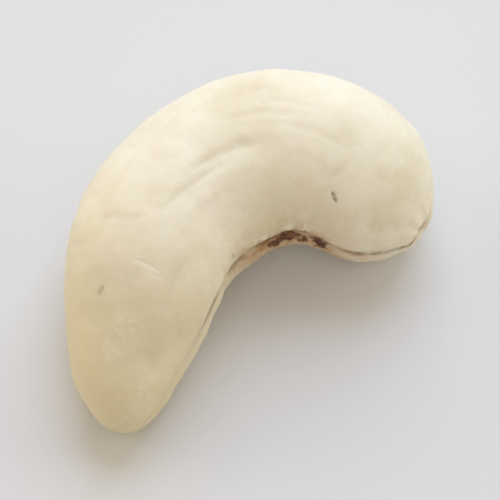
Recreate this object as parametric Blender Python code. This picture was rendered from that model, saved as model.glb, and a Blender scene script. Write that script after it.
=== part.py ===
"""A whole shelled and skinned cashew kernel, lying on its side.

The kernel is one grown piece: two thick seed leaves pressed together along a seam that runs
round the back, over both ends and through the hollow of the bend. Its body is swept along a
bent spine, from the slender end at -X, over the crown at +Y, to the blunt head at +X, so the
hollow of the bend faces -Y. It rests on three small flats, under the slender leg, the crown
and the head. The origin is at the middle of the footprint, on the surface that it rests on.
"""

import math

import bpy
import numpy as np
from mathutils import Vector, noise

MM = 0.001

# Driving dimensions, in millimetres
LENGTH = 28.0  # end to end along X
BODY_WIDTH = 11.8  # widest across the body, in the plane of the bend
BODY_THICKNESS = 10.8  # highest through the body, across the two seed leaves

# The spine, from the slender end to the head. Each station gives its place as shares of LENGTH,
# the body's width and thickness there as shares of the widest, and how far in millimetres its
# underside is lifted off the surface.
STATIONS = (
    # x, y, width, thickness, lift
    (-0.456, -0.254, 0.36, 0.39, 0.55),  # slender end
    (-0.374, -0.143, 0.60, 0.63, 0.02),
    (-0.277, -0.057, 0.80, 0.83, 0.20),
    (-0.143, 0.043, 0.92, 0.95, 0.25),
    (0.030, 0.087, 0.97, 1.00, -0.16),  # crown of the bend
    (0.197, 0.042, 0.96, 0.99, 0.25),
    (0.302, -0.069, 0.90, 0.93, 0.20),
    (0.340, -0.184, 0.78, 0.81, 0.00),
    (0.375, -0.288, 0.64, 0.66, 0.30),  # end of the head
)

# Section across the body
SQUARENESS = 2.2  # 2 is an ellipse, more is boxier
EGG = 0.07  # how much fuller the back is than the side in the bend
SEAM_TURN = (-7.0, 6.0)  # turn of the seam about the spine at the slender end and the head, degrees

# Rounded ends, as a share of the half width there
SLENDER_CAP = 1.15
HEAD_CAP = 1.0

# Seam between the two seed leaves, millimetres
BACK_SEAM_DEPTH = 0.28
BACK_SEAM_HALF_WIDTH = 0.42
BEND_SEAM_DEPTH = 0.70
BEND_SEAM_HALF_WIDTH = 0.85
SEAM_STEP = 0.12  # how far the upper seed leaf stands proud of the lower one
SEAM_STEP_FADE = 2.5

# Pit over the seed's root in the head, with a slit along the seam on both sides, millimetres
PIT_DEPTH = 0.60
PIT_RADIUS = 0.62
PIT_LIP = 0.14
PIT_LIP_RADIUS = 1.5
SLIT_DEPTH = 0.40
SLIT_REACH = 1.5
SLIT_HALF_WIDTH = 0.26

# Low swells of the grown surface: height and spacing, millimetres
SWELLS = ((0.17, 7.5), (0.07, 3.0))
SWELL_ORIGIN = Vector((3.7, 1.9, 8.3))

FLAT_CUT = 0.14  # taken off the lowest points, for the three flats

# Mesh
SLENDER_CAP_RINGS = 9
HEAD_CAP_RINGS = 16
BODY_RINGS = 48
POLE_CROWDING = 1.15
SIDES = 52
SEAM_CROWDING = 0.68  # draws the points round a ring towards the seam


def smooth_through(knots, values):
    """A function for the natural cubic curve through the values at the knots."""
    knots = np.asarray(knots, float)
    values = np.asarray(values, float)
    steps = np.diff(knots)
    slopes = np.diff(values) / steps
    count = len(knots)
    matrix = np.eye(count)
    right = np.zeros(count)
    for i in range(1, count - 1):
        matrix[i, i - 1 : i + 2] = steps[i - 1], 2 * (steps[i - 1] + steps[i]), steps[i]
        right[i] = 6 * (slopes[i] - slopes[i - 1])
    bends = np.linalg.solve(matrix, right)

    def at(where):
        where = np.asarray(where, float)
        i = np.clip(np.searchsorted(knots, where) - 1, 0, count - 2)
        h = steps[i]
        a = (knots[i + 1] - where) / h
        b = (where - knots[i]) / h
        bent = (a**3 - a) * bends[i] + (b**3 - b) * bends[i + 1]
        return a * values[i] + b * values[i + 1] + bent * h * h / 6

    return at


def smooth_step(low, high, value):
    share = np.clip((value - low) / (high - low), 0.0, 1.0)
    return share * share * (3 - 2 * share)


def bell(distance, half_width):
    return np.exp(-((distance / half_width) ** 2))


def spine_curves():
    """Spine x, y, half width, half thickness and lift against the distance along it."""
    stations = np.array(STATIONS)
    x, y = stations[:, 0] * LENGTH, stations[:, 1] * LENGTH
    along = np.concatenate([[0.0], np.cumsum(np.hypot(np.diff(x), np.diff(y)))])
    half_width = stations[:, 2] * BODY_WIDTH / 2
    half_height = stations[:, 3] * BODY_THICKNESS / 2
    curves = [smooth_through(along, v) for v in (x, y, half_width, half_height, stations[:, 4])]
    return curves, along[-1]


def cap_places(cap, rings):
    """Distances from an end for the rings of its rounded cap, even over its curve."""
    share = (np.arange(rings) + 1) / rings
    return cap * (1 - np.cos(math.pi / 2 * share**POLE_CROWDING))


def cap_fullness(distance, cap):
    """How much of its full section the body has at this distance from an end."""
    share = np.clip(1 - distance / cap, 0.0, 1.0)
    return np.sqrt(1 - share**2)


def section(turns):
    """Outline of the body's section: towards the back, and up, each from -1 to 1."""
    back, up = np.cos(turns), np.sin(turns)
    reach = (np.abs(back) ** SQUARENESS + np.abs(up) ** SQUARENESS) ** (-1 / SQUARENESS)
    return back * reach, up * reach * (1 + EGG * back)


def smooth_body():
    """The body without its relief: rings of points, the two ends, and each point's place."""
    (x, y, width, height, lift), length = spine_curves()
    slender_cap = SLENDER_CAP * float(width(0.0))
    head_cap = HEAD_CAP * float(width(length))
    between = (np.arange(BODY_RINGS) + 0.5) / BODY_RINGS
    places = np.concatenate([
        cap_places(slender_cap, SLENDER_CAP_RINGS),
        slender_cap + (length - slender_cap - head_cap) * between,
        length - cap_places(head_cap, HEAD_CAP_RINGS)[::-1],
    ])
    full = cap_fullness(places, slender_cap) * cap_fullness(length - places, head_cap)

    even = 2 * math.pi * np.arange(SIDES) / SIDES
    turns = even - SEAM_CROWDING * np.sin(2 * even) / 2
    back, up = section(turns)

    nudge = 1e-3
    run_x = x(places + nudge) - x(places - nudge)
    run_y = y(places + nudge) - y(places - nudge)
    outward = np.stack([-run_y, run_x], 1) / np.hypot(run_x, run_y)[:, None]
    share = places / length
    turned = np.radians(SEAM_TURN[0] + (SEAM_TURN[1] - SEAM_TURN[0]) * share)[:, None]

    across = (width(places) * full)[:, None] * back
    rise = (height(places) * full)[:, None] * up
    sideways = across * np.cos(turned) - rise * np.sin(turned)
    points = np.zeros((len(places), SIDES, 3))
    points[:, :, 0] = x(places)[:, None] + sideways * outward[:, :1]
    points[:, :, 1] = y(places)[:, None] + sideways * outward[:, 1:]
    points[:, :, 2] = (height(places) + lift(places))[:, None]
    points[:, :, 2] += across * np.sin(turned) + rise * np.cos(turned)

    ends = np.array([[x(s), y(s), height(s) + lift(s)] for s in (0.0, length)])
    place = {
        "rise": rise,
        "towards_back": back[None, :] * full[:, None],
    }
    return points, ends, place


def outward_normals(points, ends):
    """The surface's outward direction at each ring point and at the two ends."""
    column = np.ones((1, points.shape[1], 1))
    padded = np.concatenate([ends[0] * column, points, ends[1] * column])
    along = padded[2:] - padded[:-2]
    around = np.roll(points, -1, 1) - np.roll(points, 1, 1)
    normals = np.cross(around, along)
    normals /= np.linalg.norm(normals, axis=2, keepdims=True)
    tips = np.stack([ends[0] - points[0].mean(0), ends[1] - points[-1].mean(0)])
    return normals, tips / np.linalg.norm(tips, axis=1, keepdims=True)


def seam(rise, towards_back):
    """Depth of the groove between the seed leaves, and the step across it."""
    bend = smooth_step(-0.6, 0.6, -towards_back)
    depth = BACK_SEAM_DEPTH + (BEND_SEAM_DEPTH - BACK_SEAM_DEPTH) * bend
    half_width = BACK_SEAM_HALF_WIDTH + (BEND_SEAM_HALF_WIDTH - BACK_SEAM_HALF_WIDTH) * bend
    step = SEAM_STEP / 2 * np.tanh(2 * rise / half_width) * bell(rise, SEAM_STEP_FADE)
    return step - depth * bell(rise, half_width)


def root_pit(from_pit, rise):
    """The pit at the end of the head, its lip, and the slit along the seam."""
    pit = -PIT_DEPTH * bell(from_pit, PIT_RADIUS)
    lip = PIT_LIP * bell(from_pit - PIT_LIP_RADIUS, PIT_LIP_RADIUS / 2)
    slit = -SLIT_DEPTH * bell(rise, SLIT_HALF_WIDTH) * np.exp(-((from_pit / SLIT_REACH) ** 4))
    return pit + lip + slit


def swells(points):
    """The low swells of a surface that grew, at each of the points."""
    heights = np.zeros(len(points))
    for height, spacing in SWELLS:
        for i, point in enumerate(points):
            heights[i] += height * noise.noise(Vector(point) / spacing + SWELL_ORIGIN)
    return heights


def kernel_points():
    """Every point of the kernel, ring by ring and then the two ends, resting at z = 0."""
    points, ends, place = smooth_body()
    normals, tips = outward_normals(points, ends)
    from_pit = np.linalg.norm(points - ends[1], axis=2)
    relief = seam(place["rise"], place["towards_back"])
    relief += root_pit(from_pit, place["rise"])
    end_relief = seam(np.zeros(2), np.zeros(2))
    end_relief[1] += root_pit(0.0, 0.0)

    solid = np.concatenate([points.reshape(-1, 3), ends])
    facing = np.concatenate([normals.reshape(-1, 3), tips])
    relief = np.concatenate([relief.ravel(), end_relief]) + swells(solid)
    solid += facing * relief[:, None]

    resting = solid[:, 2].min() + FLAT_CUT
    solid[:, 2] = np.maximum(solid[:, 2], resting) - resting
    solid[:, :2] -= (solid[:, :2].min(0) + solid[:, :2].max(0)) / 2
    return solid, points.shape[0]


def kernel_faces(rings):
    """Quads from ring to ring and a fan of triangles at each end, all facing out."""
    faces = []
    for start in range(0, (rings - 1) * SIDES, SIDES):
        for side in range(SIDES):
            a, b = start + side, start + (side + 1) % SIDES
            faces.append((a, b, b + SIDES, a + SIDES))
    slender_end, head_end, last = rings * SIDES, rings * SIDES + 1, (rings - 1) * SIDES
    for side in range(SIDES):
        beside = (side + 1) % SIDES
        faces.append((slender_end, beside, side))
        faces.append((head_end, last + side, last + beside))
    return faces


def cream_flesh():
    """Raw cashew flesh without its skin: ivory, and dull like wax."""
    material = bpy.data.materials.new("cream_flesh")
    material.use_nodes = True
    shader = material.node_tree.nodes["Principled BSDF"]
    shader.inputs["Base Color"].default_value = (0.76, 0.67, 0.49, 1.0)
    shader.inputs["Roughness"].default_value = 0.5
    shader.inputs["Metallic"].default_value = 0.0
    return material


def main():
    for old in list(bpy.data.objects):
        bpy.data.objects.remove(old)
    points, rings = kernel_points()
    mesh = bpy.data.meshes.new("cashew_kernel")
    mesh.from_pydata([tuple(p) for p in points * MM], [], kernel_faces(rings))
    mesh.shade_smooth()
    mesh.materials.append(cream_flesh())
    kernel = bpy.data.objects.new("cashew_kernel", mesh)
    bpy.context.collection.objects.link(kernel)


main()
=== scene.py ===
"""The looks of a whole raw cashew kernel, shelled and skinned, lying on its side.

The kernel is one piece with one surface. Its form is worked out here again from the same driving
dimensions as the solid that it stands for, as a much finer mesh. Geometry nodes then give it the
small relief of flesh that has grown and dried: streaks along its length, wrinkles across the hollow
of the bend, dents, grain and traces of skin. The fields that place this relief are kept on the
mesh, and place the colours too.
"""

import math

import bpy
import numpy as np
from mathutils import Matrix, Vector, noise


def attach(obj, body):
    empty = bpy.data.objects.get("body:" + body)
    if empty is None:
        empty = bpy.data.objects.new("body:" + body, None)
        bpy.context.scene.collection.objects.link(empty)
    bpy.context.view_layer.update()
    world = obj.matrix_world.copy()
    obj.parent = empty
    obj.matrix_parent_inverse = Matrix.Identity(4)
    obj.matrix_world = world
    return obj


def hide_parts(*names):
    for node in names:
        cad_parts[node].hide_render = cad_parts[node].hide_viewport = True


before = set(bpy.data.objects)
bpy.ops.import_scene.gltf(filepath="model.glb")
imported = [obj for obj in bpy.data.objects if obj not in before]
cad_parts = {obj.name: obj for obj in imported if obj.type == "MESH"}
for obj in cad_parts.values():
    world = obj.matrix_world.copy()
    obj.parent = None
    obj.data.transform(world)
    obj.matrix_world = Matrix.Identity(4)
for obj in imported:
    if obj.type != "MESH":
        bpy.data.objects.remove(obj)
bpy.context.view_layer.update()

MM = 0.001

# Form of the kernel, in millimetres
LENGTH = 28.0  # end to end along X
BODY_WIDTH = 11.8  # across the body in the plane of the bend, at a share of 1
BODY_THICKNESS = 10.8  # through the body, across the two seed leaves, at a share of 1

# The spine, from the slender end to the head. Each station gives its place as shares of LENGTH,
# the body's shares of its full width and thickness there, and how far in millimetres its underside
# is lifted off the surface.
STATIONS = (
    # x, y, width, thickness, lift
    (-0.456, -0.254, 0.36, 0.39, 0.55),  # slender end
    (-0.374, -0.143, 0.60, 0.63, 0.02),
    (-0.277, -0.057, 0.80, 0.83, 0.20),
    (-0.143, 0.043, 0.92, 0.95, 0.25),
    (0.030, 0.087, 0.97, 1.00, -0.16),  # crown of the bend
    (0.197, 0.042, 0.96, 0.99, 0.25),
    (0.302, -0.069, 0.90, 0.93, 0.20),
    (0.340, -0.184, 0.78, 0.81, 0.00),
    (0.375, -0.288, 0.64, 0.66, 0.30),  # end of the head
)
SQUARENESS = 2.2  # of the section across the body: 2 is an ellipse, more is boxier
EGG = 0.07  # how much fuller the body is towards the back
SEAM_TURN = (-7.0, 6.0)  # turn of the seam about the spine at the slender end and the head, degrees
SLENDER_CAP = 1.9  # length of the rounded ends, as a share of the half width there
HEAD_CAP = 1.0
SLENDER_TAPER = 3.0  # how late the slender end closes: 2 is an ellipse
HEAD_TAPER = 2.0
FLAT_CUT = 0.14  # taken off the lowest points, for the three flats

# Seam between the two seed leaves: a soft valley with a fine crack at its bottom, in millimetres
BEND_SIDE = (-0.6, 0.6)  # where the bend side sets in, from -1 at the back to 1 in the bend
BACK_SEAM_DEPTH = 0.28
BACK_SEAM_HALF_WIDTH = 0.42
BEND_SEAM_DEPTH = 0.70
BEND_SEAM_HALF_WIDTH = 0.85
SEAM_DEPTH_MEAN = 0.85  # share of that depth which the valley has on average
SEAM_DEPTH_SWING = 0.35  # how far the share varies about that
SEAM_DEPTH_SPACING = 5.0
SEAM_LEFT_AT_PIT = 0.35  # share of the valley's depth beside the root pit
SEAM_PIT_REACH = (1.5, 7.0)  # distances from the pit between which it gains the rest
SEAM_LEFT_AT_SLENDER_END = 0.30  # share of the valley's depth that is left there
SEAM_FADE_SHARE = 0.42  # of the spine, from that end, over which it gains the rest
SEAM_STEP = 0.12  # how far the upper seed leaf stands proud of the lower one
SEAM_STEP_STEEPNESS = 2.0
SEAM_STEP_FADE = 2.5  # half width of the strip where it stands proud
SEAM_WANDER = 0.16  # how far the seam strays to either side
SEAM_WANDER_SPACING = 3.6
SEAM_WANDER_EDGE = (0.15, 0.6)  # where the straying sets in, from 0 over the spine to 1 at the seam
SIDES_APART = 40.0  # in the noise, so that the seam differs between the back and the bend

# The valley is three in one. Each has its share of the depth, and its share of the half width.
VALLEY_BROAD = (0.5, 2.0)
VALLEY_BROAD_DRAWN_IN = 0.4  # how much narrower the broad one is in the bend
VALLEY_NARROW = (0.3, 0.9)
VALLEY_SHARP = (0.2, 0.55)
CRACK_DEPTH = 0.10
CRACK_HALF_WIDTH = 0.10
CRACK_SPACING = 2.6  # of the stretches where the crack shows
CRACK_EDGE = (-0.1, 0.5)  # levels of the noise between which it opens
CRACK_BEND_FAVOUR = 0.35  # how much likelier it is open in the bend

# Raised edges of the valley
SEAM_LIP = 0.05  # height
LIP_PLACE = 1.45  # of the middle of each, as a share of the seam's half width
LIP_HALF_WIDTH = 0.5  # as a share of the seam's half width
LIP_BROADER_IN_BEND = 0.1
LIP_PIT_REACH = (0.8, 2.2)  # distances from the pit between which the lips set in
SCALLOP_HEIGHT = 0.10  # of the uneven lip in the hollow of the bend
SCALLOP_SPACING = 0.75

# Strips along the seam in the bend. Each has the rise of its middle above the seam, its half width,
# and the shares of the spine where it starts and where it ends, each from none to full.
STRIPS = {
    # rise, half width, start, end
    "rim": (1.45, 0.40, (0.24, 0.34), (0.92, 0.84)),  # rubbed edge
    "warm_edge": (0.90, 1.20, (0.36, 0.46), (0.95, 0.85)),  # partly yellowed flesh, partly painted shade
    "seam_line": (-0.28, 0.22, (0.10, 0.30), (1.2, 1.1)),  # thin brown line of skin and painted shade, which runs on to the end
    "skin_home": (-0.62, 0.80, (0.42, 0.66), (0.93, 0.84)),  # where skin still clings
}
BEAD_HEIGHT = 0.05  # of the row of small rubbed bumps along the rim
BEAD_SPACING = 0.62
BEAD_EDGE = (-0.05, 0.35)  # levels of the noise between which a bump rises

# Other places on the kernel, from none to full at both their ends
CORNER = ((0.30, 0.50), (0.95, 0.84))  # shares of the spine that lie in the hollow of the bend
CORNER_HALF_HEIGHT = 3.2
STAIN_AND_SHADE_ALONG = ((0.34, 0.52), (0.98, 0.86))  # shares of the spine where the bend has skin stain and painted shade
STAIN_AND_SHADE_ACROSS = ((-4.2, -1.8), (1.2, 0.3))  # rises from the seam between which it has skin stain and painted shade
SLENDER_SHARE = 0.50  # of the spine, from the slender end, over which the flesh is yellower and darker, partly painted shade
CROWN_SPACING = 4.0  # of the patches where streaks show
CROWN_EDGE = (-0.1, 0.5)  # levels of the noise between which they show
CROWN_FAVOUR = 0.5  # how much likelier they are towards the back

# Pit over the seed's root in the head, with a slit along the seam and puckers round it
PIT_DEPTH = 0.85
PIT_RADIUS = 0.50
PIT_SHADE_RADIUS = 1.35 * PIT_RADIUS  # of the part with the colours of the pit, its skin and painted shade
PIT_RAGGED = 0.28  # how far its radius varies round it
PIT_RAGGED_SPACING = 0.8
RAGGED_DRIFT = 0.25  # how fast its ragged outline changes away from it
PIT_LIP = 0.13
PIT_LIP_RADIUS = 1.35
PIT_LIP_HALF_WIDTH = 0.45 * PIT_LIP_RADIUS
SLIT_DEPTH = 0.42
SLIT_REACH = 1.8
SLIT_END = 4  # how suddenly the slit ends: 2 is a soft bell
SLIT_HALF_WIDTH = 0.15
PUCKERS = 11
PUCKER_HEIGHT = 0.045
PUCKER_RADIUS = 1.15 * PIT_LIP_RADIUS
PUCKER_HALF_WIDTH = 0.6 * PIT_LIP_RADIUS
PUCKER_WANDER = 2.5  # how unevenly they are spaced, in radians of their wave
PUCKER_SPACING = 0.9

# Furrows along the body. Each has its turn about the spine from the back at its two ends, the
# shares of the spine between which it runs, its depth and its half width.
FURROWS = (
    # degrees at each end, start, end, depth, half width
    (93, 101, 0.43, 0.68, 0.17, 0.32),
    (94, 107, 0.34, 0.58, 0.15, 0.26),
    (70, 76, 0.60, 0.80, 0.06, 0.20),
    (77, 84, 0.54, 0.76, 0.06, 0.22),
    (90, 94, 0.66, 0.84, 0.05, 0.22),
    (60, 63, 0.50, 0.72, 0.05, 0.24),
    (118, 125, 0.16, 0.32, 0.07, 0.40),
    (262, 255, 0.34, 0.68, 0.14, 0.42),
    (285, 280, 0.16, 0.40, 0.08, 0.34),
    (300, 294, 0.52, 0.80, 0.08, 0.26),
    (312, 308, 0.46, 0.70, 0.07, 0.24),
    (240, 236, 0.66, 0.86, 0.06, 0.34),
)
FURROW_WANDER = 2.5  # how far each strays to either side, in degrees
FURROW_WANDER_SPACING = 4.5
FURROW_FADE = 0.4  # share of its length over which each end fades
FURROW_DEPTH_MEAN = 0.8  # share of its depth that each has on average
FURROW_DEPTH_SWING = 0.6  # how far the share varies about that
FURROW_DEPTH_SPACING = 1.9
FURROW_ROUND = 0.65  # share of the depth that is a round valley
FURROW_SHARP = (0.35, 0.4)  # the same for the sharp valley in it, and its share of the half width
FURROWS_APART = 17.0  # in the noise, so that each strays in its own way
RIDGE_TURN = 13.0  # from a furrow to the low ridge beside it, on the bend side, degrees
RIDGE_SHARE = 0.55  # height of that ridge, as a share of the furrow's depth
RIDGE_HALF_WIDTH = 1.4  # as a share of the furrow's half width
SLIM_RADIUS = 0.6  # radius at the slender end, as a share of the full body's
FULL_FROM = 0.4  # share of the spine from which the body has its full radius

# Low swells of the grown surface: height and spacing
SWELLS = ((0.17, 7.5), (0.08, 3.0), (0.045, 1.5))
SWELL_ORIGIN = Vector((3.7, 1.9, 8.3))
SWELL_SAMPLES = (-0.12, -0.06, 0.0, 0.06, 0.12)  # shares of the spacing at which each is averaged

# Scratches, nicks, creases and raised spots. Each runs between two places on the surface, given by
# their share of the spine and turn in degrees, and may be pale or dark. A raised spot has a depth
# below 0.
STROKES = (
    # start, end, half width, depth, how pale, how dark
    ((0.266, 90.0), (0.256, 108.0), 0.08, 0.030, 0.45, 0.0),
    ((0.252, 97.0), (0.246, 116.0), 0.06, 0.015, 0.15, 0.0),
    ((0.325, 103.0), (0.330, 106.0), 0.30, -0.020, 0.28, 0.0),
    ((0.312, 117.0), (0.317, 120.0), 0.28, -0.020, 0.24, 0.0),
    ((0.520, 285.0), (0.505, 262.0), 0.08, 0.030, 0.35, 0.0),
    ((0.843, 122.5), (0.858, 125.0), 0.07, 0.060, 0.0, 0.80),
    ((0.202, 66.5), (0.213, 67.5), 0.14, 0.030, 0.0, 0.34),
    ((0.420, 318.0), (0.430, 321.0), 0.08, 0.050, 0.0, 0.70),
    ((0.334, 58.0), (0.343, 82.0), 0.20, 0.022, 0.0, 0.05),
    ((0.089, 79.0), (0.116, 118.0), 0.28, 0.018, 0.0, 0.03),
    ((0.386, 160.0), (0.396, 160.0), 0.10, 0.030, 0.0, 0.42),
    ((0.515, 164.0), (0.530, 165.0), 0.10, 0.030, 0.0, 0.45),
    ((0.610, 171.0), (0.640, 170.0), 0.09, 0.030, 0.0, 0.38),
    ((0.140, 250.0), (0.120, 285.0), 0.30, 0.045, 0.0, 0.06),
    ((0.300, 30.0), (0.290, 48.0), 0.25, 0.030, 0.0, 0.04),
)
STROKE_BULGE = 0.07  # how far the surface rises over a stroke's straight line, as a share of it
STROKE_RAGGED = 0.5  # how far its half width varies
STROKE_RAGGED_SPACING = 0.4
SCUFF = (0.155, 95.0, 0.95)  # share, degrees, radius
SCUFF_HEIGHT = 0.04
SCUFF_SPACING = 0.42

# Fine mesh
SLENDER_CAP_RINGS = 30
HEAD_CAP_RINGS = 60
BODY_RINGS = 310
POLE_CROWDING = 1.15  # how much closer together the rings are at the ends
SIDES = 236
SEAM_CROWDING = 0.62  # how much closer together the sides are at the seam

# Inputs of the geometry nodes: sizes of the relief that they add, in millimetres, and its seed
RELIEF = {
    "Streak height": 0.07,
    "Streak spacing": 1.1,
    "Fine streak height": 0.030,
    "Fine streak spacing": 0.42,
    "Wrinkle height": 0.20,
    "Wrinkle spacing": 0.60,
    "Dent depth": 0.06,
    "Dent spacing": 2.6,
    "Grain height": 0.030,
    "Grain spacing": 0.45,
    "Skin thickness": 0.03,
    "Skin spacing": 0.42,
    "Seed": 5.0,
}
STREAK_STRETCH = 5.0  # how much longer than wide the streaks are
WRINKLE_STRETCH = 4.0  # how much taller than wide the wrinkles are
DENT_EDGE = (0.54, 0.78)  # levels of the noise between which a dent sinks
SKIN_FAVOUR = 0.33  # how much likelier skin is in the bend than elsewhere
SKIN_IN_PIT = 0.6  # the same in the root pit, as a share of that
SKIN_EDGE = (0.73, 0.82)  # levels of the noise between which skin sets in
SKIN_KEPT = (0.1, 0.3)  # levels of the field "skin_home" between which there is skin at all

# Patterns of the flesh's colour and finest grain, in millimetres
PATTERN_TURN = (0.5, 0.8, 0.3)  # radians, so that no pattern lines up with the kernel
FLECK_SPACING = 1.6
FLECK_EDGE = (0.02, 0.09)  # where a fleck is full and where it ends, as shares of its spacing
FLECK_STRENGTH = 0.55
FLECKLESS = 0.86  # share of the places that have no fleck
PORE_SPACING = 0.17
PORE_DEPTH = 0.03
PORE_STRENGTH = 0.4
SCRAPE_SPACING = 0.25
SCRAPE_SHARE = 0.5  # of the fine scrapes, against the pores
WAXY_ROUGHNESS = 0.47
CHALKY_ROUGHNESS = 0.70
CRACK_TAN = 0.45  # how tan the crack is with skin stain and painted shade, also outside the bend

# Colours of the flesh, each laid over the ones before it
FLESH_COLOUR = "F4EEDB"
SHADES = {
    "clouds": "EAE2C8",  # broad creamy patches
    "rosy": "EFE1D2",
    "olive": "DFD7B2",
    "mottle": "E5DCC0",
    "slender": "DDCD9E",  # yellower and darker towards the slender end: partly its own tone, partly painted shade
    "corner": "CBB98E",  # painted shade in the hollow of the bend
    # painted shade in the furrows
    "furrow": "C9BC9C",
    "streaks": "DDD0AA",
    "low": "D0C197",  # painted shade where the relief lies low
    "high": "F6F0DE",  # what is rubbed because it stands high
    "chalk": "F9F5EA",  # rubbed and powdery
    # partly yellowed flesh, partly painted shade above the seam in the bend
    "warm_edge": "C4A063",
    # skin stain and painted shade below the seam in the bend
    "stain_and_shade": "C29A66",
    "rim": "F8F1DD",
    "tan": "B98A52",  # skin stain and painted shade in the groove of the bend, the crack and the root pit
    # thin line of skin and painted shade below the seam in the bend
    "seam_line": "75522F",
    "brown": "70492A",  # skin and painted shade in the crack in the bend
    # skin and painted shade deep in the root pit
    "in_pit": "42281A",
    "flecks": "8A6B45",
    "dark": "6E5E49",  # in nicks
}
SKIN_COLOURS = ("53301F", "8B603B")

# Direction of the camera as seen from the kernel, and its lens in millimetres
CAMERA_AZIMUTH = math.radians(-38)
CAMERA_ELEVATION = math.radians(65)
LENS = 300.0
SENSOR = 36.0
KERNEL_IN_FRAME = 0.74  # share of the picture's side that the kernel fills

# Soft square lights, the pale surround and the floor, in metres and watts
LIGHTS = {
    # azimuth, elevation, distance, size, power, colour
    "key": (130, 46, 0.45, 0.40, 1.70, "D6E5FF"),
    "right": (68, 22, 0.50, 0.30, 0.38, "FFFEE2"),
    "left": (212, 20, 0.50, 0.30, 0.56, "FFF0C8"),
    "front": (-38, 62, 0.50, 0.40, 0.36, "E8E9FF"),
}
SURROUND_COLOUR = "FFECCB"
SURROUND_STRENGTH = 0.47
FLOOR_COLOUR = "DEE0E3"
FLOOR_HALF = 1.5

# Settings that many of the nodes share
MULTIPLY = {"operation": "MULTIPLY"}
MULTIPLY_ADD = {"operation": "MULTIPLY_ADD"}
MAXIMUM = {"operation": "MAXIMUM"}
EASED = {"interpolation_type": "SMOOTHSTEP"}
MIXED_COLOURS = {"data_type": "RGBA"}


def smooth_through(knots, values):
    """A function for the natural cubic curve through the values at the knots."""
    knots = np.asarray(knots, float)
    values = np.asarray(values, float)
    steps = np.diff(knots)
    slopes = np.diff(values) / steps
    count = len(knots)
    matrix = np.eye(count)
    right = np.zeros(count)
    for i in range(1, count - 1):
        matrix[i, i - 1 : i + 2] = steps[i - 1], 2 * (steps[i - 1] + steps[i]), steps[i]
        right[i] = 6 * (slopes[i] - slopes[i - 1])
    bends = np.linalg.solve(matrix, right)

    def at(where):
        where = np.asarray(where, float)
        i = np.clip(np.searchsorted(knots, where) - 1, 0, count - 2)
        h = steps[i]
        a = (knots[i + 1] - where) / h
        b = (where - knots[i]) / h
        bent = (a**3 - a) * bends[i] + (b**3 - b) * bends[i + 1]
        return a * values[i] + b * values[i + 1] + bent * h * h / 6

    return at


def smooth_step(none, full, value):
    """From 0 at none and beyond it to 1 at full and beyond it, smoothly. Either may be the lower."""
    share = np.clip((value - none) / (full - none), 0.0, 1.0)
    return share * share * (3 - 2 * share)


def between(value, start, end):
    """1 between start and end, and 0 outside. Each of them gives the values for none and full."""
    return smooth_step(*start, value) * smooth_step(*end, value)


def bell(distance, half_width):
    return np.exp(-((distance / half_width) ** 2))


def uneven(places, spacing, origin):
    """Smooth noise from about -1 to 1 at each of the places, whose last axis has x, y and z."""
    flat = places.reshape(-1, 3) / spacing + np.asarray(origin, float)
    return np.array([noise.noise(p) for p in flat.tolist()]).reshape(places.shape[:-1])


def spine_curves():
    """Spine x, y, half width, half thickness and lift against the distance along it."""
    stations = np.array(STATIONS)
    x, y = stations[:, 0] * LENGTH, stations[:, 1] * LENGTH
    along = np.concatenate([[0.0], np.cumsum(np.hypot(np.diff(x), np.diff(y)))])
    half_width = stations[:, 2] * BODY_WIDTH / 2
    half_height = stations[:, 3] * BODY_THICKNESS / 2
    curves = [smooth_through(along, v) for v in (x, y, half_width, half_height, stations[:, 4])]
    return curves, along[-1]


def cap_places(cap, rings):
    """Distances from an end for the rings of its rounded cap, a little closer at the end."""
    share = (np.arange(rings) + 1) / rings
    return cap * (1 - np.cos(math.pi / 2 * share**POLE_CROWDING))


def cap_fullness(distance, cap, taper):
    """How much of its full section the body has at this distance from an end."""
    share = np.clip(1 - distance / cap, 0.0, 1.0)
    return np.sqrt(1 - share**taper)


def section(turns):
    """Outline of the body's section: towards the back, and up, each from about -1 to 1."""
    back, up = np.cos(turns), np.sin(turns)
    reach = (np.abs(back) ** SQUARENESS + np.abs(up) ** SQUARENESS) ** (-1 / SQUARENESS)
    return back * reach, up * reach * (1 + EGG * back)


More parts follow.
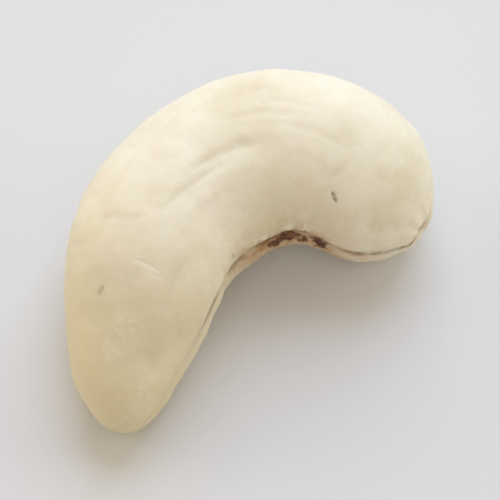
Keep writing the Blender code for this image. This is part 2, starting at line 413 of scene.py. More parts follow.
def smooth_body():
    """The body without its relief: rings of points, the two ends, and each point's place."""
    (x, y, width, height, lift), length = spine_curves()
    slender_cap = SLENDER_CAP * float(width(0.0))
    head_cap = HEAD_CAP * float(width(length))
    even = (np.arange(BODY_RINGS) + 0.5) / BODY_RINGS
    places = np.concatenate([
        cap_places(slender_cap, SLENDER_CAP_RINGS),
        slender_cap + (length - slender_cap - head_cap) * even,
        length - cap_places(head_cap, HEAD_CAP_RINGS)[::-1],
    ])
    full = cap_fullness(places, slender_cap, SLENDER_TAPER)
    full = full * cap_fullness(length - places, head_cap, HEAD_TAPER)

    turns = 2 * math.pi * np.arange(SIDES) / SIDES
    turns = turns - SEAM_CROWDING * np.sin(2 * turns) / 2
    back, up = section(turns)

    nudge = 1e-3
    run_x = x(places + nudge) - x(places - nudge)
    run_y = y(places + nudge) - y(places - nudge)
    outward = np.stack([-run_y, run_x], 1) / np.hypot(run_x, run_y)[:, None]
    share = places / length
    turned = np.radians(SEAM_TURN[0] + (SEAM_TURN[1] - SEAM_TURN[0]) * share)[:, None]

    across = (width(places) * full)[:, None] * back
    rise = (height(places) * full)[:, None] * up
    sideways = across * np.cos(turned) - rise * np.sin(turned)
    points = np.zeros((len(places), SIDES, 3))
    points[:, :, 0] = x(places)[:, None] + sideways * outward[:, :1]
    points[:, :, 1] = y(places)[:, None] + sideways * outward[:, 1:]
    points[:, :, 2] = (height(places) + lift(places))[:, None]
    points[:, :, 2] += across * np.sin(turned) + rise * np.cos(turned)

    ends = np.array([[x(s), y(s), height(s) + lift(s)] for s in (0.0, length)])
    place = {
        "along": np.repeat(places[:, None], SIDES, 1),
        "share": np.repeat(share[:, None], SIDES, 1),
        "turn": np.repeat(turns[None, :], len(places), 0),
        "across": across,
        "rise": rise,
        "towards_back": back[None, :] * full[:, None],
    }
    return points, ends, place


def outward_normals(points, ends):
    """The surface's outward direction at each ring point and at the two ends."""
    column = np.ones((1, points.shape[1], 1))
    padded = np.concatenate([ends[0] * column, points, ends[1] * column])
    along = padded[2:] - padded[:-2]
    around = np.roll(points, -1, 1) - np.roll(points, 1, 1)
    normals = np.cross(around, along)
    normals /= np.linalg.norm(normals, axis=2, keepdims=True)
    tips = np.stack([ends[0] - points[0].mean(0), ends[1] - points[-1].mean(0)])
    return normals, tips / np.linalg.norm(tips, axis=1, keepdims=True)


def seam_relief(place, from_pit):
    """The valley between the seed leaves, its crack, its lips and the step across it."""
    towards_back = place["towards_back"]
    bend = smooth_step(*BEND_SIDE, -towards_back)
    half_width = BACK_SEAM_HALF_WIDTH + (BEND_SEAM_HALF_WIDTH - BACK_SEAM_HALF_WIDTH) * bend
    track = np.stack([place["along"], SIDES_APART * np.sign(towards_back), 0 * towards_back], 2)
    wander = SEAM_WANDER * uneven(track, SEAM_WANDER_SPACING, (1.3, 0.2, 7.7))
    rise = place["rise"] - wander * smooth_step(*SEAM_WANDER_EDGE, np.abs(towards_back))

    depth = BACK_SEAM_DEPTH + (BEND_SEAM_DEPTH - BACK_SEAM_DEPTH) * bend
    swing = SEAM_DEPTH_SWING * uneven(track, SEAM_DEPTH_SPACING, (4.1, 9.2, 0.4))
    depth = depth * (SEAM_DEPTH_MEAN + swing)
    deepened = smooth_step(0.0, SEAM_FADE_SHARE, place["share"])
    remaining = SEAM_LEFT_AT_SLENDER_END + (1 - SEAM_LEFT_AT_SLENDER_END) * deepened
    clear_of_pit = smooth_step(*SEAM_PIT_REACH, from_pit)
    remaining = remaining * (SEAM_LEFT_AT_PIT + (1 - SEAM_LEFT_AT_PIT) * clear_of_pit)
    drawn_in = 1 - VALLEY_BROAD_DRAWN_IN * bend
    broad = VALLEY_BROAD[0] * bell(rise, VALLEY_BROAD[1] * half_width * drawn_in)
    narrow = VALLEY_NARROW[0] * bell(rise, VALLEY_NARROW[1] * half_width)
    sharp = VALLEY_SHARP[0] * np.exp(-np.abs(rise) / (VALLEY_SHARP[1] * half_width))
    valley = depth * remaining * (broad + narrow + sharp)
    opening = uneven(track, CRACK_SPACING, (8.8, 3.1, 5.0)) + CRACK_BEND_FAVOUR * bend
    crack = smooth_step(*CRACK_EDGE, opening) * bell(rise, CRACK_HALF_WIDTH)

    beside = np.abs(rise) - LIP_PLACE * half_width
    scallops = SCALLOP_HEIGHT * bend * uneven(track, SCALLOP_SPACING, (0.7, 6.1, 2.9))
    lip_width = (LIP_HALF_WIDTH + LIP_BROADER_IN_BEND * bend) * half_width
    lip = (SEAM_LIP + scallops) * bell(beside, lip_width)
    lip = lip * smooth_step(*LIP_PIT_REACH, from_pit)
    step = SEAM_STEP / 2 * np.tanh(SEAM_STEP_STEEPNESS * rise / half_width) * bell(rise, SEAM_STEP_FADE)
    groove = bell(rise, half_width) * bend
    return step + lip - valley - CRACK_DEPTH * crack, groove, crack, bend, rise


def root_pit(place, from_pit, rise):
    """The pit in the end of the head, with its lip, the slit along the seam and the puckers."""
    turn = place["turn"]
    ring = np.stack([np.cos(turn), np.sin(turn), from_pit * RAGGED_DRIFT], 2)
    ragged = 1 + PIT_RAGGED * uneven(ring, PIT_RAGGED_SPACING, (5.2, 0.3, 1.1))
    pit = PIT_DEPTH * bell(from_pit, PIT_RADIUS * ragged)
    lip = PIT_LIP * bell(from_pit - PIT_LIP_RADIUS, PIT_LIP_HALF_WIDTH)
    slit = bell(rise, SLIT_HALF_WIDTH) * np.exp(-((from_pit / SLIT_REACH) ** SLIT_END))
    fold = np.cos(PUCKERS * turn + PUCKER_WANDER * uneven(ring, PUCKER_SPACING, (2.2, 4.3, 9.1)))
    puckers = PUCKER_HEIGHT * fold * bell(from_pit - PUCKER_RADIUS, PUCKER_HALF_WIDTH)
    hollow = np.maximum(bell(from_pit, PIT_SHADE_RADIUS * ragged), slit)
    return lip + puckers - pit - SLIT_DEPTH * slit, hollow


def furrows(place):
    """Relief of the furrows, each with a low ridge on its bend side, and how deep one is in them."""
    relief = np.zeros_like(place["share"])
    shaded = relief.copy()
    share = place["share"]
    deepest = max(furrow[4] for furrow in FURROWS)
    filled_out = smooth_step(0.0, FULL_FROM, share)
    radius = BODY_THICKNESS / 2 * (SLIM_RADIUS + (1 - SLIM_RADIUS) * filled_out)
    for number, (first, last, start, end, depth, half_width) in enumerate(FURROWS):
        track = np.stack([place["along"], 0 * share + FURROWS_APART * number, 0 * share], 2)
        course = first + (last - first) * np.clip((share - start) / (end - start), 0.0, 1.0)
        course = course + FURROW_WANDER * uneven(track, FURROW_WANDER_SPACING, (0.4, 3.3, 6.2))
        across = (place["turn"] - np.radians(course)) * radius
        side = 1.0 if first < 180 else -1.0
        beside = across - side * math.radians(RIDGE_TURN) * radius
        sharp, sharp_width = FURROW_SHARP
        sunk = FURROW_ROUND * bell(across, half_width) + sharp * bell(across, sharp_width * half_width)
        ease = FURROW_FADE * (end - start)
        faded = between(share, (start, start + ease), (end, end - ease))
        swing = FURROW_DEPTH_SWING * uneven(track, FURROW_DEPTH_SPACING, (7.1, 0.9, 3.3))
        faded = faded * (FURROW_DEPTH_MEAN + swing)
        relief += faded * depth * (RIDGE_SHARE * bell(beside, RIDGE_HALF_WIDTH * half_width) - sunk)
        # How deep one is in a furrow places painted shade there
        shaded = np.maximum(shaded, faded * depth / deepest * sunk)
    return relief, shaded


def low_swells(points):
    """The low swells of the surface, each averaged over a few samples so that it bends evenly."""
    relief = np.zeros(points.shape[:-1])
    for height, spacing in SWELLS:
        each = height / len(SWELL_SAMPLES)
        for sample in SWELL_SAMPLES:
            relief += each * uneven(points + sample * spacing, spacing, SWELL_ORIGIN)
    return relief


def surface_point(points, place, share, degrees):
    """The point of the surface at this share of the spine and turn about it."""
    ring = int(np.abs(place["share"][:, 0] - share).argmin())
    side = int(np.abs(place["turn"][0] - math.radians(degrees)).argmin())
    return points[ring, side]


def line_mark(points, place, start, end, half_width):
    """A ragged stroke on the surface between two of its points: 1 on it and 0 away from it."""
    start, end = surface_point(points, place, *start), surface_point(points, place, *end)
    run = end - start
    share = np.clip(((points - start) @ run) / (run @ run), 0.0, 1.0)
    nearest = start + share[:, :, None] * run
    bulge = STROKE_BULGE * np.linalg.norm(run) * np.sin(math.pi * share)
    apart = np.linalg.norm(points - nearest, axis=2) - bulge
    ragged = half_width * (1 + STROKE_RAGGED * uneven(points, STROKE_RAGGED_SPACING, (3.0, 1.0, 2.0)))
    return bell(np.maximum(apart, 0.0), ragged)


def small_marks(points, place):
    """Relief of the strokes and the scuff, and how pale, dark and scuffed the surface is."""
    relief = np.zeros_like(place["share"])
    pale, dark = relief.copy(), relief.copy()
    for start, end, half_width, depth, paleness, darkness in STROKES:
        stroke = line_mark(points, place, start, end, half_width)
        relief -= depth * stroke
        pale = np.maximum(pale, paleness * stroke)
        dark = np.maximum(dark, darkness * stroke)
    away = np.linalg.norm(points - surface_point(points, place, *SCUFF[:2]), axis=2)
    scuffed = bell(away, SCUFF[2])
    relief += SCUFF_HEIGHT * scuffed * uneven(points, SCUFF_SPACING, (9.0, 4.0, 1.0))
    return relief, pale, dark, scuffed


def strips_in_bend(share, rise, bend):
    """The strips along the seam in the bend: 1 in the middle of each and 0 away from it."""
    strips = {}
    for name, (middle, half_width, start, end) in STRIPS.items():
        strips[name] = bend * bell(rise - middle, half_width) * between(share, start, end)
    return strips


def kernel_mesh():
    """The fine mesh of the kernel at rest, with the fields that the relief and colours read."""
    points, ends, place = smooth_body()
    normals, tips = outward_normals(points, ends)
    from_pit = np.linalg.norm(points - ends[1], axis=2)
    seam, groove, crack, bend, rise = seam_relief(place, from_pit)
    pit, hollow = root_pit(place, from_pit, rise)
    marks, pale, dark, scuffed = small_marks(points, place)
    furrowed, furrow_shade = furrows(place)
    share = place["share"]
    strips = strips_in_bend(share, rise, bend)
    rim = strips["rim"] * smooth_step(*BEAD_EDGE, uneven(points, BEAD_SPACING, (2.6, 8.1, 4.4)))
    relief = seam + pit + furrowed + marks + low_swells(points) + BEAD_HEIGHT * rim

    # The relief goes on, the kernel is cut flat where it rests, and its middle is put over the origin
    seam_depth = (BACK_SEAM_DEPTH + BEND_SEAM_DEPTH) / 2
    slender_relief = -SEAM_LEFT_AT_SLENDER_END * seam_depth
    head_relief = -SEAM_LEFT_AT_PIT * seam_depth - PIT_DEPTH - SLIT_DEPTH
    solid = np.concatenate([points.reshape(-1, 3), ends])
    facing = np.concatenate([normals.reshape(-1, 3), tips])
    solid += facing * np.concatenate([relief.ravel(), [slender_relief, head_relief]])[:, None]
    resting = solid[:, 2].min() + FLAT_CUT
    solid[:, 2] = np.maximum(solid[:, 2], resting) - resting
    solid[:, :2] -= (solid[:, :2].min(0) + solid[:, :2].max(0)) / 2

    corner = bend * between(share, *CORNER) * bell(place["rise"], CORNER_HALF_HEIGHT)
    # Skin stain and painted shade below the seam in the bend
    stain_and_shade = bend * between(rise, *STAIN_AND_SHADE_ACROSS) * between(share, *STAIN_AND_SHADE_ALONG)
    streaked = uneven(points, CROWN_SPACING, (6.0, 2.0, 3.0)) + CROWN_FAVOUR * place["towards_back"]
    fields = {
        # over the rings, and at the slender end and the end of the head
        "groove": (groove, (0.3, 0.3)),
        "crack": (crack, (0.0, 1.0)),
        "hollow": (hollow, (0.0, 1.0)),
        "corner": (corner, (0.0, 0.0)),
        "crown": (smooth_step(*CROWN_EDGE, streaked), (0.0, 0.0)),
        "furrow": (furrow_shade, (0.0, 0.0)),
        "slender": (smooth_step(SLENDER_SHARE, 0.0, share), (1.0, 0.0)),
        "rim": (rim, (0.0, 0.0)),
        "skin_home": (np.maximum(strips["skin_home"], SKIN_IN_PIT * hollow), (0.0, SKIN_IN_PIT)),
        "stain_and_shade": (stain_and_shade, (0.0, 0.0)),
        "warm_edge": (strips["warm_edge"], (0.0, 0.0)),
        "seam_line": (strips["seam_line"], (0.0, 0.0)),
        "pale": (pale, (0.0, 0.0)),
        "dark": (dark, (0.0, 0.0)),
        "scuffed": (scuffed, (0.0, 0.0)),
    }
    grain = np.stack([place["across"], place["rise"], place["along"] / STREAK_STRETCH], 2)
    end_grain = np.array([[0.0, 0.0, 0.0], [0.0, 0.0, place["along"].max() / STREAK_STRETCH]])
    return solid, fields, np.concatenate([grain.reshape(-1, 3), end_grain]), points.shape[0]


def kernel_faces(rings):
    """Quads from ring to ring and a fan of triangles at each end, all facing out."""
    faces = []
    for start in range(0, (rings - 1) * SIDES, SIDES):
        for side in range(SIDES):
            a, b = start + side, start + (side + 1) % SIDES
            faces.append((a, b, b + SIDES, a + SIDES))
    slender_end, head_end, last = rings * SIDES, rings * SIDES + 1, (rings - 1) * SIDES
    for side in range(SIDES):
        beside = (side + 1) % SIDES
        faces.append((slender_end, beside, side))
        faces.append((head_end, last + side, last + beside))
    return faces


def smooth_kernel():
    """The kernel as an object, before the geometry nodes add the small relief."""
    solid, fields, grain, rings = kernel_mesh()
    mesh = bpy.data.meshes.new("kernel")
    mesh.from_pydata([tuple(p) for p in solid * MM], [], kernel_faces(rings))
    for name, (values, end_values) in fields.items():
        field = mesh.attributes.new(name, "FLOAT", "POINT")
        field.data.foreach_set("value", np.concatenate([values.ravel(), end_values]).astype(np.float32))
    field = mesh.attributes.new("grain", "FLOAT_VECTOR", "POINT")
    field.data.foreach_set("vector", grain.astype(np.float32).ravel())
    mesh.shade_smooth()
    kernel = bpy.data.objects.new("kernel", mesh)
    bpy.context.scene.collection.objects.link(kernel)
    return kernel


def add(tree, kind, settings=None, inputs=None):
    """Adds a node. Settings go on the node, and inputs are values or the sockets to link from."""
    node = tree.nodes.new(kind)
    for name, value in (settings or {}).items():
        setattr(node, name, value)
    for key, value in (inputs or {}).items():
        if isinstance(value, bpy.types.NodeSocket):
            tree.links.new(value, node.inputs[key])
        else:
            node.inputs[key].default_value = value
    return node


def colour(code):
    """A linear colour from a hex code such as "F1E6CC"."""
    parts = [int(code[i : i + 2], 16) / 255 for i in (0, 2, 4)]
    linear = [p / 12.92 if p <= 0.04045 else ((p + 0.055) / 1.055) ** 2.4 for p in parts]
    return (*linear, 1.0)


def grown_surface():
    """Geometry nodes for the small relief of the flesh, with each size as a named input."""
    tree = bpy.data.node_groups.new("grown_surface", "GeometryNodeTree")
    tree.interface.new_socket("Geometry", in_out="INPUT", socket_type="NodeSocketGeometry")
    for name in RELIEF:
        tree.interface.new_socket(name, in_out="INPUT", socket_type="NodeSocketFloat")
    tree.interface.new_socket("Flesh", in_out="INPUT", socket_type="NodeSocketMaterial")
    tree.interface.new_socket("Geometry", in_out="OUTPUT", socket_type="NodeSocketGeometry")
    given = add(tree, "NodeGroupInput").outputs

    field = {}
    for name in ("corner", "crown", "skin_home"):
        node = add(tree, "GeometryNodeInputNamedAttribute", {"data_type": "FLOAT"}, {"Name": name})
        field[name] = node.outputs["Attribute"]
    grain = add(tree, "GeometryNodeInputNamedAttribute", {"data_type": "FLOAT_VECTOR"}, {"Name": "grain"})
    lengthwise = grain.outputs["Attribute"]
    position = add(tree, "GeometryNodeInputPosition").outputs[0]
    in_mm = add(
        tree, "ShaderNodeVectorMath", {"operation": "SCALE"}, {0: position, "Scale": 1 / MM}
    ).outputs[0]
    upright = add(
        tree, "ShaderNodeVectorMath", MULTIPLY, {0: in_mm, 1: (1.0, 1.0, 1 / WRINKLE_STRETCH)}
    ).outputs[0]

    noises = {
        # where the noise is read, detail, roughness
        "Streak": (lengthwise, 2.0, 0.5),
        "Fine streak": (lengthwise, 2.0, 0.5),
        "Wrinkle": (upright, 2.0, 0.5),
        "Grain": (in_mm, 2.0, 0.5),
        "Dent": (in_mm, 1.0, 0.5),
        "Skin": (lengthwise, 3.0, 0.55),
    }
    for name, (where, detail, rough) in noises.items():
        scale = add(tree, "ShaderNodeMath", {"operation": "DIVIDE"}, {0: 1.0, 1: given[name + " spacing"]})
        settings = {"Scale": scale.outputs[0], "Detail": detail, "Roughness": rough}
        noises[name] = add(
            tree,
            "ShaderNodeTexNoise",
            {"noise_dimensions": "4D"},
            {"Vector": where, "W": given["Seed"], **settings},
        ).outputs[0]

    # Waves of noise: streaks along the body, wrinkles across the hollow of the bend, and grain
    relief = 0.0
    waves = {
        # where on the kernel each shows
        "Streak": field["crown"],
        "Fine streak": field["crown"],
        "Wrinkle": field["corner"],
        "Grain": 1.0,  # everywhere
    }
    for name, share in waves.items():
        wave = add(tree, "ShaderNodeMath", {"operation": "SUBTRACT"}, {0: noises[name], 1: 0.5})
        wave = add(tree, "ShaderNodeMath", MULTIPLY, {0: wave.outputs[0], 1: share})
        relief = add(
            tree,
            "ShaderNodeMath",
            MULTIPLY_ADD,
            {0: wave.outputs[0], 1: given[name + " height"], 2: relief},
        ).outputs[0]

    # Shallow dents, where a slow noise runs high
    sunk = add(tree, "ShaderNodeMapRange", EASED, {0: noises["Dent"], 1: DENT_EDGE[0], 2: DENT_EDGE[1]})
    dents = add(tree, "ShaderNodeMath", MULTIPLY, {0: sunk.outputs[0], 1: given["Dent depth"]})
    relief = add(
        tree, "ShaderNodeMath", {"operation": "SUBTRACT"}, {0: relief, 1: dents.outputs[0]}
    ).outputs[0]

    # Traces of the thin brown seed skin cling in the groove of the bend and in the root pit
    favour = add(tree, "ShaderNodeMath", MULTIPLY, {0: field["skin_home"], 1: SKIN_FAVOUR})
    clinging = add(tree, "ShaderNodeMath", {"operation": "ADD"}, {0: noises["Skin"], 1: favour.outputs[0]})
    skin = add(
        tree, "ShaderNodeMapRange", EASED, {0: clinging.outputs[0], 1: SKIN_EDGE[0], 2: SKIN_EDGE[1]}
    )
    kept = add(tree, "ShaderNodeMapRange", None, {0: field["skin_home"], 1: SKIN_KEPT[0], 2: SKIN_KEPT[1]})
    skin = add(tree, "ShaderNodeMath", MULTIPLY, {0: skin.outputs[0], 1: kept.outputs[0]}).outputs[0]
    relief = add(
        tree, "ShaderNodeMath", MULTIPLY_ADD, {0: skin, 1: given["Skin thickness"], 2: relief}
    ).outputs[0]

    # The relief moves the surface along its normal, and is kept for the colours
    geometry = given["Geometry"]
    for name, value in (("relief", relief), ("skin", skin)):
        geometry = add(
            tree,
            "GeometryNodeStoreNamedAttribute",
            {"data_type": "FLOAT", "domain": "POINT"},
            {"Geometry": geometry, "Name": name, "Value": value},
        ).outputs[0]
    height = add(tree, "ShaderNodeMath", MULTIPLY, {0: relief, 1: MM}).outputs[0]
    normal = add(tree, "GeometryNodeInputNormal").outputs[0]
    offset = add(
        tree, "ShaderNodeVectorMath", {"operation": "SCALE"}, {0: normal, "Scale": height}
    ).outputs[0]
    raised = add(tree, "GeometryNodeSetPosition", None, {"Geometry": geometry, "Offset": offset}).outputs[0]

    # Nothing reaches below the surface that the kernel rests on
    above = add(tree, "ShaderNodeVectorMath", MAXIMUM, {0: position, 1: (-1.0, -1.0, 0.0)}).outputs[0]
    rested = add(tree, "GeometryNodeSetPosition", None, {"Geometry": raised, "Position": above}).outputs[0]
    real = add(tree, "GeometryNodeRealizeInstances", None, {"Geometry": rested}).outputs[0]
    dressed = add(
        tree, "GeometryNodeSetMaterial", None, {"Geometry": real, "Material": given["Flesh"]}
    ).outputs[0]
    add(tree, "NodeGroupOutput", None, {"Geometry": dressed})
    return tree


def with_relief(kernel, flesh):
    """A plain mesh of the kernel with the relief of the geometry nodes."""
    tree = grown_surface()
    modifier = kernel.modifiers.new("grown_surface", "NODES")
    modifier.node_group = tree
    sockets = {s.name: s.identifier for s in tree.interface.items_tree if s.in_out == "INPUT"}
    for name, size in RELIEF.items():
        modifier[sockets[name]] = size
    modifier[sockets["Flesh"]] = flesh
    depsgraph = bpy.context.evaluated_depsgraph_get()
    evaluated = kernel.evaluated_get(depsgraph)
    finished = bpy.data.meshes.new_from_object(
        evaluated, preserve_all_data_layers=True, depsgraph=depsgraph
    )
    kernel.modifiers.clear()
    smooth = kernel.data
    kernel.data = finished
    bpy.data.meshes.remove(smooth)
    finished.name = "kernel"
    return kernel


def flesh_patterns(tree, in_mm, lengthwise):
    """Patches and streaks of noise for the shades of the flesh, each a share from 0 to its strength."""
    patterns = {
        # where, spacing in millimetres, detail, roughness, none below, full above, strength
        "clouds": (in_mm, 6.5, 3.0, 0.5, 0.35, 0.68, 0.7),
        "rosy": (in_mm, 3.7, 2.0, 0.5, 0.50, 0.74, 0.45),
        "olive": (in_mm, 5.0, 3.0, 0.55, 0.52, 0.76, 0.36),
        "streaks": (lengthwise, 0.9, 4.0, 0.55, 0.46, 0.76, 0.12),
        "rubbed": (in_mm, 2.8, 2.0, 0.5, 0.52, 0.70, 0.7),
        "powder": (in_mm, 0.35, 4.0, 0.65, 0.40, 0.68, 0.55),
        "mottle": (in_mm, 1.2, 4.0, 0.6, 0.42, 0.72, 0.36),
        "stain_and_shade_streaks": (lengthwise, 0.55, 4.0, 0.6, 0.34, 0.64, 1.0),
        "skin_shades": (in_mm, 0.25, 3.0, 0.6, 0.40, 0.62, 1.0),
    }
    for name, (where, spacing, detail, rough, none, full, strength) in patterns.items():
        cloud = add(
            tree,
            "ShaderNodeTexNoise",
            None,
            {"Vector": where, "Scale": 1 / spacing, "Detail": detail, "Roughness": rough},
        )
        patterns[name] = add(
            tree, "ShaderNodeMapRange", EASED, {0: cloud.outputs[0], 1: none, 2: full, 4: strength}
        ).outputs[0]
    return patterns


def brown_flecks(tree, in_mm):
    """A few tiny brown flecks, in some of the cells that the surface is divided into."""
    cells = add(
        tree, "ShaderNodeTexVoronoi", {"feature": "F1"}, {"Vector": in_mm, "Scale": 1 / FLECK_SPACING}
    )
    chance = add(tree, "ShaderNodeSeparateXYZ", None, {0: cells.outputs["Color"]}).outputs[0]
    chosen = add(
        tree, "ShaderNodeMath", {"operation": "GREATER_THAN"}, {0: chance, 1: FLECKLESS}
    ).outputs[0]
    near = add(
        tree,
        "ShaderNodeMapRange",
        EASED,
        {0: cells.outputs["Distance"], 1: FLECK_EDGE[0], 2: FLECK_EDGE[1], 3: FLECK_STRENGTH, 4: 0.0},
    ).outputs[0]
    return add(tree, "ShaderNodeMath", MULTIPLY, {0: near, 1: chosen}).outputs[0]


def flesh_shares(tree, field, patterns):
    """How much of each shade the flesh shows, from the fields of the mesh and the patterns."""
    shares = dict(patterns, dark=field["dark"])
    # Painted shade in the furrows and the hollow of the bend, partly painted shade at the slender end, and
    # the rim
    for name, strength in {"slender": 0.56, "furrow": 0.45, "corner": 0.12, "rim": 0.80}.items():
        weakened = add(tree, "ShaderNodeMath", MULTIPLY, {0: field[name], 1: strength})
        shares[name] = weakened.outputs[0]

    levels = {
        # the field that it follows, two levels of it, and the share at each
        # painted shade where the relief lies low
        "low": ("relief", -0.08, -0.01, 0.3, 0.0),
        "high": ("relief", 0.02, 0.07, 0.0, 0.5),
        # skin and painted shade deep in the root pit
        "in_pit": ("hollow", 0.45, 0.85, 0.0, 1.0),
    }
    for name, (source, first, second, at_first, at_second) in levels.items():
        shares[name] = add(
            tree,
            "ShaderNodeMapRange",
            EASED,
            {0: field[source], 1: first, 2: second, 3: at_first, 4: at_second},
        ).outputs[0]

    # Skin stain and painted shade along the seam in the bend, each in streaks
    stains_and_shades = {
        # least share, and what the streaks add to it
        "stain_and_shade": (0.42, 0.40),
        "warm_edge": (0.18, 0.34),
        "seam_line": (0.16, 0.58),
    }
    for name, (least, more) in stains_and_shades.items():
        streaky = add(
            tree, "ShaderNodeMath", MULTIPLY_ADD, {0: patterns["stain_and_shade_streaks"], 1: more, 2: least}
        ).outputs[0]
        stain_and_shade_streaks = add(tree, "ShaderNodeMath", MULTIPLY, {0: field[name], 1: streaky})
        shares[name] = stain_and_shade_streaks.outputs[0]

    chalk = add(tree, "ShaderNodeMath", MAXIMUM, {0: patterns["rubbed"], 1: field["scuffed"]})
    chalk = add(tree, "ShaderNodeMath", MULTIPLY, {0: chalk.outputs[0], 1: patterns["powder"]})
    chalk = add(tree, "ShaderNodeMath", MAXIMUM, {0: chalk.outputs[0], 1: field["pale"]})
    shares["chalk"] = chalk.outputs[0]

    # Skin stain and painted shade in the groove of the bend, the crack and the root pit
    tan = add(tree, "ShaderNodeMath", MULTIPLY, {0: field["groove"], 1: field["corner"]})
    tan = add(tree, "ShaderNodeMath", MAXIMUM, {0: tan.outputs[0], 1: field["hollow"]})
    tan = add(
        tree, "ShaderNodeMath", MULTIPLY_ADD, {0: field["crack"], 1: CRACK_TAN, 2: tan.outputs[0]}
    )
    tan = add(
        tree,
        "ShaderNodeMath",
        {"operation": "MULTIPLY", "use_clamp": True},
        {0: tan.outputs[0], 1: patterns["stain_and_shade_streaks"]},
    )
    # Skin and painted shade in the crack in the bend
    brown = add(tree, "ShaderNodeMath", MULTIPLY, {0: field["crack"], 1: field["corner"]})
    shares.update(tan=tan.outputs[0], brown=brown.outputs[0])
    return shares


def fine_bump(tree, in_mm, lengthwise):
    """Pores and the scrapes along the body from rubbing the skin off, as a normal for the shader."""
    pores = add(
        tree,
        "ShaderNodeTexNoise",
        None,
        {"Vector": in_mm, "Scale": 1 / PORE_SPACING, "Detail": 4.0, "Roughness": 0.6},
    ).outputs[0]
    scrapes = add(
        tree, "ShaderNodeTexNoise", None, {"Vector": lengthwise, "Scale": 1 / SCRAPE_SPACING, "Detail": 3.0}
    ).outputs[0]
    height = add(
        tree, "ShaderNodeMath", MULTIPLY_ADD, {0: scrapes, 1: SCRAPE_SHARE, 2: pores}
    ).outputs[0]
    bump = {"Height": height, "Strength": PORE_STRENGTH, "Distance": PORE_DEPTH * MM}
    return add(tree, "ShaderNodeBump", None, bump).outputs[0]


def dried_cashew_flesh():
    """Raw cashew flesh with its skin rubbed off: ivory, waxy and dull, slightly clear at thin rims."""
    material = bpy.data.materials.new("dried_cashew_flesh")
    material.use_nodes = True
    tree = material.node_tree
    shader = tree.nodes["Principled BSDF"]
    here = add(tree, "ShaderNodeTexCoord").outputs["Object"]
    in_mm = add(
        tree,
        "ShaderNodeMapping",
        None,
        {"Vector": here, "Rotation": PATTERN_TURN, "Scale": (1 / MM, 1 / MM, 1 / MM)},
    ).outputs[0]
    field = {}
    for name in (
        "groove", "crack", "hollow", "corner", "rim", "stain_and_shade", "warm_edge", "seam_line", "furrow",
        "slender", "pale", "dark", "scuffed", "relief", "skin",
    ):
        field[name] = add(tree, "ShaderNodeAttribute", {"attribute_name": name}).outputs["Fac"]
    lengthwise = add(tree, "ShaderNodeAttribute", {"attribute_name": "grain"}).outputs["Vector"]

    patterns = flesh_patterns(tree, in_mm, lengthwise)
    shares = flesh_shares(tree, field, patterns)
    shares["flecks"] = brown_flecks(tree, in_mm)
    flesh = colour(FLESH_COLOUR)
    for name, code in SHADES.items():
        flesh = add(
            tree, "ShaderNodeMix", MIXED_COLOURS, {0: shares[name], 6: flesh, 7: colour(code)}
        ).outputs[2]
    dark_skin, light_skin = SKIN_COLOURS
    skin = add(
        tree,
        "ShaderNodeMix",
        MIXED_COLOURS,
        {0: patterns["skin_shades"], 6: colour(dark_skin), 7: colour(light_skin)},
    ).outputs[2]
    flesh = add(tree, "ShaderNodeMix", MIXED_COLOURS, {0: field["skin"], 6: flesh, 7: skin}).outputs[2]
    tree.links.new(flesh, shader.inputs["Base Color"])

    # Waxy where smooth, dull where chalky
    rough = add(
        tree, "ShaderNodeMapRange", None, {0: shares["chalk"], 3: WAXY_ROUGHNESS, 4: CHALKY_ROUGHNESS}
    ).outputs[0]
    tree.links.new(rough, shader.inputs["Roughness"])
    tree.links.new(fine_bump(tree, in_mm, lengthwise), shader.inputs["Normal"])
    # Light goes a little way into the flesh, and red goes furthest
    shader.inputs["Subsurface Weight"].default_value = 0.28
    shader.inputs["Subsurface Radius"].default_value = (1.0, 0.66, 0.42)
    shader.inputs["Subsurface Scale"].default_value = 0.7 * MM
    shader.inputs["IOR"].default_value = 1.46
    shader.inputs["Specular IOR Level"].default_value = 0.42
    return material


def pale_floor():
    """A board in matt paint, which gives the eye an even pale grey with no gloss."""
    material = bpy.data.materials.new("matt_painted_board")
    material.use_nodes = True
    shader = material.node_tree.nodes["Principled BSDF"]
    shader.inputs["Base Color"].default_value = colour(FLOOR_COLOUR)
    shader.inputs["Roughness"].default_value = 0.85
    corners = [(-1, -1), (1, -1), (1, 1), (-1, 1)]
    mesh = bpy.data.meshes.new("floor")
    mesh.from_pydata([(x * FLOOR_HALF, y * FLOOR_HALF, 0) for x, y in corners], [], [(0, 1, 2, 3)])
    mesh.materials.append(material)
    floor = bpy.data.objects.new("floor", mesh)
    bpy.context.scene.collection.objects.link(floor)


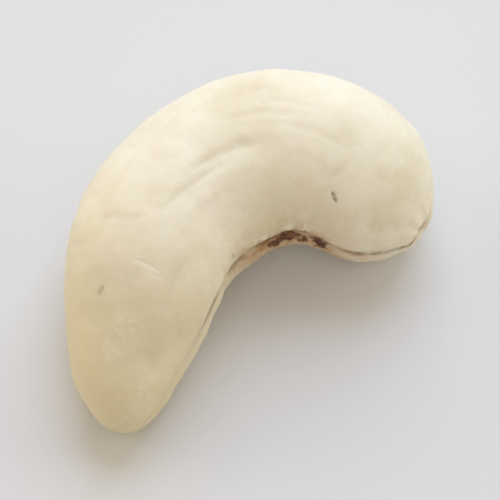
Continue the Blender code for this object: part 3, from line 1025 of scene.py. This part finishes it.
def soft_light(name, azimuth, elevation, distance, size, power, tint):
    """A square soft light aimed at the kernel, from an azimuth measured as the camera's is."""
    turn, tilt = math.radians(azimuth), math.radians(elevation)
    towards = Vector((math.sin(turn) * math.cos(tilt), -math.cos(turn) * math.cos(tilt), math.sin(tilt)))
    lamp = bpy.data.lights.new(name, "AREA")
    lamp.size = size
    lamp.energy = power
    lamp.color = colour(tint)[:3]
    light = bpy.data.objects.new(name, lamp)
    light.location = towards * distance
    light.rotation_euler = (-towards).to_track_quat("-Z", "Y").to_euler()
    bpy.context.scene.collection.objects.link(light)


def studio():
    """Soft light from above and behind, weak light from the sides and front, and a pale surround."""
    for name, light in LIGHTS.items():
        soft_light(name, *light)
    world = bpy.data.worlds.new("surround")
    bpy.context.scene.world = world
    world.use_nodes = True
    background = world.node_tree.nodes["Background"]
    background.inputs["Color"].default_value = colour(SURROUND_COLOUR)
    background.inputs["Strength"].default_value = SURROUND_STRENGTH
    bpy.context.scene.view_settings.view_transform = "Standard"


def photo_camera(kernel):
    """A long lens at the photograph's angle, with the kernel in the middle of the picture."""
    right = Vector((math.cos(CAMERA_AZIMUTH), math.sin(CAMERA_AZIMUTH), 0.0))
    level = Vector((-math.sin(CAMERA_AZIMUTH), math.cos(CAMERA_AZIMUTH), 0.0))
    looking = level * math.cos(CAMERA_ELEVATION) - Vector((0, 0, math.sin(CAMERA_ELEVATION)))
    up = right.cross(looking)
    places = np.array([v.co for v in kernel.data.vertices])
    middle, spans = Vector(), []
    for axis in (right, up):
        reach = places @ np.array(axis)
        middle += axis * (reach.min() + reach.max()) / 2
        spans.append(reach.max() - reach.min())
    middle += looking * float(places.mean(0) @ np.array(looking))
    camera = bpy.data.cameras.new("camera")
    camera.lens = LENS
    camera.sensor_width = SENSOR
    camera.clip_start = 0.01
    placed = bpy.data.objects.new("camera", camera)
    distance = max(spans) / KERNEL_IN_FRAME * LENS / SENSOR
    placed.location = middle - looking * distance
    placed.rotation_euler = looking.to_track_quat("-Z", "Y").to_euler()
    bpy.context.scene.collection.objects.link(placed)
    bpy.context.scene.camera = placed


kernel = with_relief(smooth_kernel(), dried_cashew_flesh())
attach(kernel, "root")
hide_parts("cashew_kernel")
photo_camera(kernel)
studio()
pale_floor()
